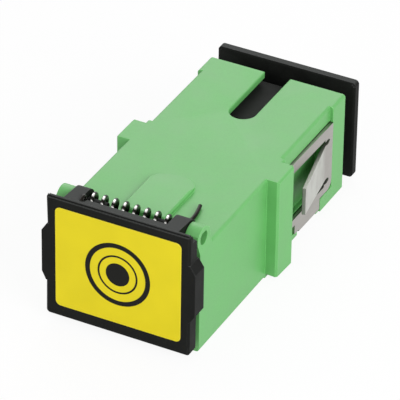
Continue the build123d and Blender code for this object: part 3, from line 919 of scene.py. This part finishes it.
class ADAPTER_OT_spring(bpy.types.Operator):
    """Winds the round wire of the torsion spring"""

    bl_idname = "adapter.spring"
    bl_label = "Wind the Spring"

    def execute(self, context):
        spring = context.scene.adapter_spring
        hinge = Vector(frame["joints"][0]["pos_m"])
        start_modelling()
        curve = bpy.data.curves.new("spring_wire", "CURVE")
        curve.dimensions = "3D"
        route = self.route(spring, hinge)
        line = curve.splines.new("NURBS")
        line.points.add(len(route) - 1)
        for point, place in zip(line.points, route):
            point.co = (*place, 1.0)
        line.use_endpoint_u = True
        line.order_u = 3
        line.resolution_u = 3
        curve.bevel_depth = spring.wire / 2
        curve.bevel_resolution = 3
        curve.use_fill_caps = True
        piece = bpy.data.objects.new("spring_wire", curve)
        context.scene.collection.objects.link(piece)
        pick(piece)
        bpy.ops.object.convert(target="MESH")
        bpy.ops.object.mode_set(mode="EDIT")
        bpy.ops.mesh.select_all(action="SELECT")
        bpy.ops.mesh.remove_doubles(threshold=0.001 * MM)
        bpy.ops.mesh.normals_make_consistent(inside=False)
        bpy.ops.object.mode_set(mode="OBJECT")
        bpy.ops.object.shade_smooth_by_angle(angle=radians(50))
        material = spring_steel("spring_wire_steel", context.scene.adapter_colours.spring, hinge)
        piece = finish_piece("spring_wire", material)
        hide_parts("torsion_spring")
        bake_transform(piece)
        return {"FINISHED"}

    def route(self, spring, hinge):
        """The points of the wire: the leg on the housing, the coil and the hook on the door."""
        wire_low, wire_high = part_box("torsion_spring")
        leg_z = wire_low.z + spring.wire / 2
        hook_z = wire_high.z - spring.wire / 2 - spring.hook_sink
        front_y = hinge.y - spring.coil_radius
        route = [
            Vector((3.47 * MM, wire_high.y, leg_z)),
            Vector((3.62 * MM, wire_high.y - 0.6 * MM, leg_z)),
            Vector((3.76 * MM, wire_high.y - 1.3 * MM, leg_z)),
            Vector((3.79 * MM, wire_high.y - 2.4 * MM, leg_z)),
            Vector((3.77 * MM, hinge.y + 1.2 * MM, leg_z)),
            Vector((3.74 * MM, hinge.y + 0.45 * MM, leg_z + 0.02 * MM)),
        ]
        turns = spring.even_turns + spring.closing_turns
        steps = round(turns * spring.points_per_turn)
        for step in range(steps + 1):
            turn = turns * step / steps
            late = max(0.0, turn - spring.even_turns)
            along = spring.pitch * turn - spring.closing * late ** 2
            route.append(Vector((
                spring.half_length - spring.shift - along,
                hinge.y - spring.coil_radius * sin(2 * pi * turn),
                hinge.z - spring.sag - spring.coil_radius * cos(2 * pi * turn),
            )))
        end_x = route[-1].x
        return route + [
            Vector((end_x, front_y, hinge.z + 0.45 * MM)),
            Vector((end_x + 0.02 * MM, front_y, hook_z - 0.36 * MM)),
            Vector((end_x + 0.03 * MM, front_y - 0.04 * MM, hook_z + 0.02 * MM)),
            Vector((end_x + 0.05 * MM, front_y - 0.2 * MM, hook_z + 0.1 * MM)),
            Vector((end_x + 0.08 * MM, front_y - 0.5 * MM, hook_z + 0.06 * MM)),
            Vector((end_x + 0.12 * MM, front_y - 0.84 * MM, hook_z - 0.02 * MM)),
        ]


class ADAPTER_OT_label(bpy.types.Operator):
    """Models the label's film with soft corners, and prints its rings"""

    bl_idname = "adapter.label"
    bl_label = "Print the Label"

    def execute(self, context):
        design = context.scene.adapter_label
        colours = context.scene.adapter_colours
        low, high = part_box("door_label")
        middle = (low + high) / 2
        start_modelling()
        place = (middle.x, high.y, middle.z)
        bpy.ops.mesh.primitive_plane_add(size=1, location=place, rotation=(pi / 2, 0, 0))
        bpy.context.active_object.scale = (high.x - low.x, high.z - low.z, 1)
        apply_place()
        bpy.ops.object.mode_set(mode="EDIT")
        bpy.ops.mesh.select_all(action="SELECT")
        bpy.ops.mesh.bevel(offset=design.corner, segments=8, affect="VERTICES")
        thicken_selection(-design.film_thickness)
        bpy.ops.object.mode_set(mode="OBJECT")
        yellow = printed_film("yellow_film", colours.film)
        film = finish_piece("label_sheet", yellow, "shutter")
        soften(film, 0.02 * MM)
        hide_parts("door_label")

        ink = black_ink("black_ink", colours.ink)
        printed_disc("label_outer_ring", design.outer_ring, design.outer_stroke, ink)
        printed_disc("label_inner_ring", design.inner_ring, design.inner_stroke, ink)
        printed_disc("label_dot", design.dot, 0.0, ink)
        return {"FINISHED"}


class ADAPTER_OT_dust_cap(bpy.types.Operator):
    """Shapes the dust cap's plate and neck, in black plastic"""

    bl_idname = "adapter.dust_cap"
    bl_label = "Finish the Dust Cap"

    def execute(self, context):
        shape = context.scene.adapter_shape
        cap = reshaped("dust_cap", "dust_cap_moulding")
        shifts = ((CAP_SEAT, shape.collar_reach), (CAP_FRONT_CHAMFER, -shape.cap_front),
                  (CAP_REAR_CHAMFER, shape.cap_rear))
        for (start, end), shift in shifts:
            slide(cap, lambda x, y, z: start < y < end, (0, shift, 0))
        for side in (-1, 1):
            slide(cap, lambda x, y, z: y > CAP_PLATE and side * x > CAP_SIDE,
                  (side * shape.cap_widen, 0, 0))
        slide(cap, lambda x, y, z: y > CAP_PLATE and z > CAP_TOP, (0, 0, shape.cap_raise))
        slide(cap, lambda x, y, z: y > CAP_PLATE and z < CAP_FOOT, (0, 0, -shape.cap_drop))
        black = black_plastic("black_cap_plastic", context.scene.adapter_colours.black,
                              dust_and_top_light_above=4.6 * MM)
        dress_shape(cap, black, "cap", "dust_cap")
        return {"FINISHED"}


class ADAPTER_OT_studio(bpy.types.Operator):
    """Lays the white floor, hangs the lamps and sets the camera"""

    bl_idname = "adapter.studio"
    bl_label = "Set Up the Studio"

    def execute(self, context):
        scene = context.scene
        studio = scene.adapter_studio
        self.lay_floor(cad_box[0].z)
        self.light_room(studio.room_level)
        for name, place, width, power_setting in LAMPS:
            self.hang_lamp(name, Vector(place), width, getattr(studio, power_setting))
        self.place_camera(scene, studio)
        scene.view_settings.view_transform = "Standard"
        return {"FINISHED"}

    def seen(self, nodes):
        """1 for what the camera sees straight or in a reflection, 0 for light that falls on the object."""
        camera = nodes.add("ShaderNodeLightPath", output="Is Camera Ray")
        glossy = nodes.add("ShaderNodeLightPath", output="Is Glossy Ray")
        through = nodes.add("ShaderNodeLightPath", output="Is Transmission Ray")
        return nodes.around(camera + glossy + through, 0.0, 1.0)

    def lay_floor(self, level):
        """A white floor under the object, which keeps a faint shadow."""
        start_modelling()
        bpy.ops.mesh.primitive_plane_add(size=3.0, location=(0, 0, level))
        material, nodes = paint("white_floor")
        cloud = nodes.cloud(9 * MM)
        paper = nodes.add("ShaderNodeBsdfDiffuse", {},
                          {"Color": nodes.mix(cloud, (0.8, 0.8, 0.8, 1), (0.83, 0.83, 0.83, 1))})
        white = nodes.add("ShaderNodeEmission", {}, {"Color": WHITE, "Strength": 1.02})
        mixed = nodes.add("ShaderNodeMixShader", {}, {0: 0.9 * self.seen(nodes), 1: paper, 2: white})
        nodes.add("ShaderNodeOutputMaterial", {}, {"Surface": mixed})
        floor = finish_piece("floor", material)

    def light_room(self, level):
        """Even light from all round, and a white background."""
        world = bpy.data.worlds.new("studio_room")
        bpy.context.scene.world = world
        nodes = Nodes(world)
        strength = level + (1.0 - level) * self.seen(nodes)
        room = nodes.add("ShaderNodeBackground", {}, {"Color": WHITE, "Strength": strength})
        nodes.add("ShaderNodeOutputWorld", {}, {"Surface": room})

    def hang_lamp(self, name, place, width, power):
        """A square soft lamp that points at the object."""
        start_modelling()
        bpy.ops.object.light_add(type="AREA", location=place)
        lamp = bpy.context.active_object
        lamp.name = name
        lamp.data.size = width
        lamp.data.energy = power
        lamp.rotation_euler = (-place).to_track_quat("-Z", "Y").to_euler()

    def place_camera(self, scene, studio):
        """The camera at the photograph's viewing angle."""
        start_modelling()
        bpy.ops.object.camera_add(location=studio.camera_place)
        camera = bpy.context.active_object
        camera.name = "camera"
        turn = Matrix.Rotation(studio.azimuth, 4, "Z")
        tilt = Matrix.Rotation(pi / 2 - studio.elevation, 4, "X")
        roll = Matrix.Rotation(studio.roll, 4, "Z")
        camera.rotation_euler = (turn @ tilt @ roll).to_euler()
        camera.data.sensor_width = 36.0
        camera.data.lens = studio.lens
        camera.data.clip_start = 0.01
        camera.data.clip_end = 10.0
        scene.camera = camera


class ADAPTER_PT_pieces(bpy.types.Panel):
    """Lists the adapter's pieces and what can be changed"""

    bl_idname = "ADAPTER_PT_pieces"
    bl_label = "Fibre Optic Adapter"
    bl_space_type = "VIEW_3D"
    bl_region_type = "UI"
    bl_category = "Adapter"

    def draw(self, context):
        column = self.layout.column(align=True)
        for operator in operators:
            column.operator(operator.bl_idname)
        for name in settings_groups:
            group = getattr(context.scene, name)
            box = self.layout.box()
            for key in group.__annotations__:
                box.prop(group, key)


operators = (
    ADAPTER_OT_housing,
    ADAPTER_OT_port_inserts,
    ADAPTER_OT_panel_clip,
    ADAPTER_OT_shutter,
    ADAPTER_OT_spring,
    ADAPTER_OT_label,
    ADAPTER_OT_dust_cap,
    ADAPTER_OT_studio,
)
settings_groups = {
    "adapter_colours": AdapterColours,
    "adapter_shape": AdapterShape,
    "adapter_spring": AdapterSpring,
    "adapter_label": AdapterLabel,
    "adapter_studio": AdapterStudio,
}


def register():
    for group in settings_groups.values():
        bpy.utils.register_class(group)
    for name, group in settings_groups.items():
        setattr(bpy.types.Scene, name, PointerProperty(type=group))
    for operator in operators:
        bpy.utils.register_class(operator)
    bpy.utils.register_class(ADAPTER_PT_pieces)


def unregister():
    bpy.utils.unregister_class(ADAPTER_PT_pieces)
    for operator in reversed(operators):
        bpy.utils.unregister_class(operator)
    for name, group in settings_groups.items():
        delattr(bpy.types.Scene, name)
        bpy.utils.unregister_class(group)


def main():
    register()
    bpy.ops.adapter.housing()
    bpy.ops.adapter.port_inserts()
    bpy.ops.adapter.panel_clip()
    bpy.ops.adapter.shutter()
    bpy.ops.adapter.spring()
    bpy.ops.adapter.label()
    bpy.ops.adapter.dust_cap()
    bpy.ops.adapter.studio()


if __name__ == "__main__":
    main()
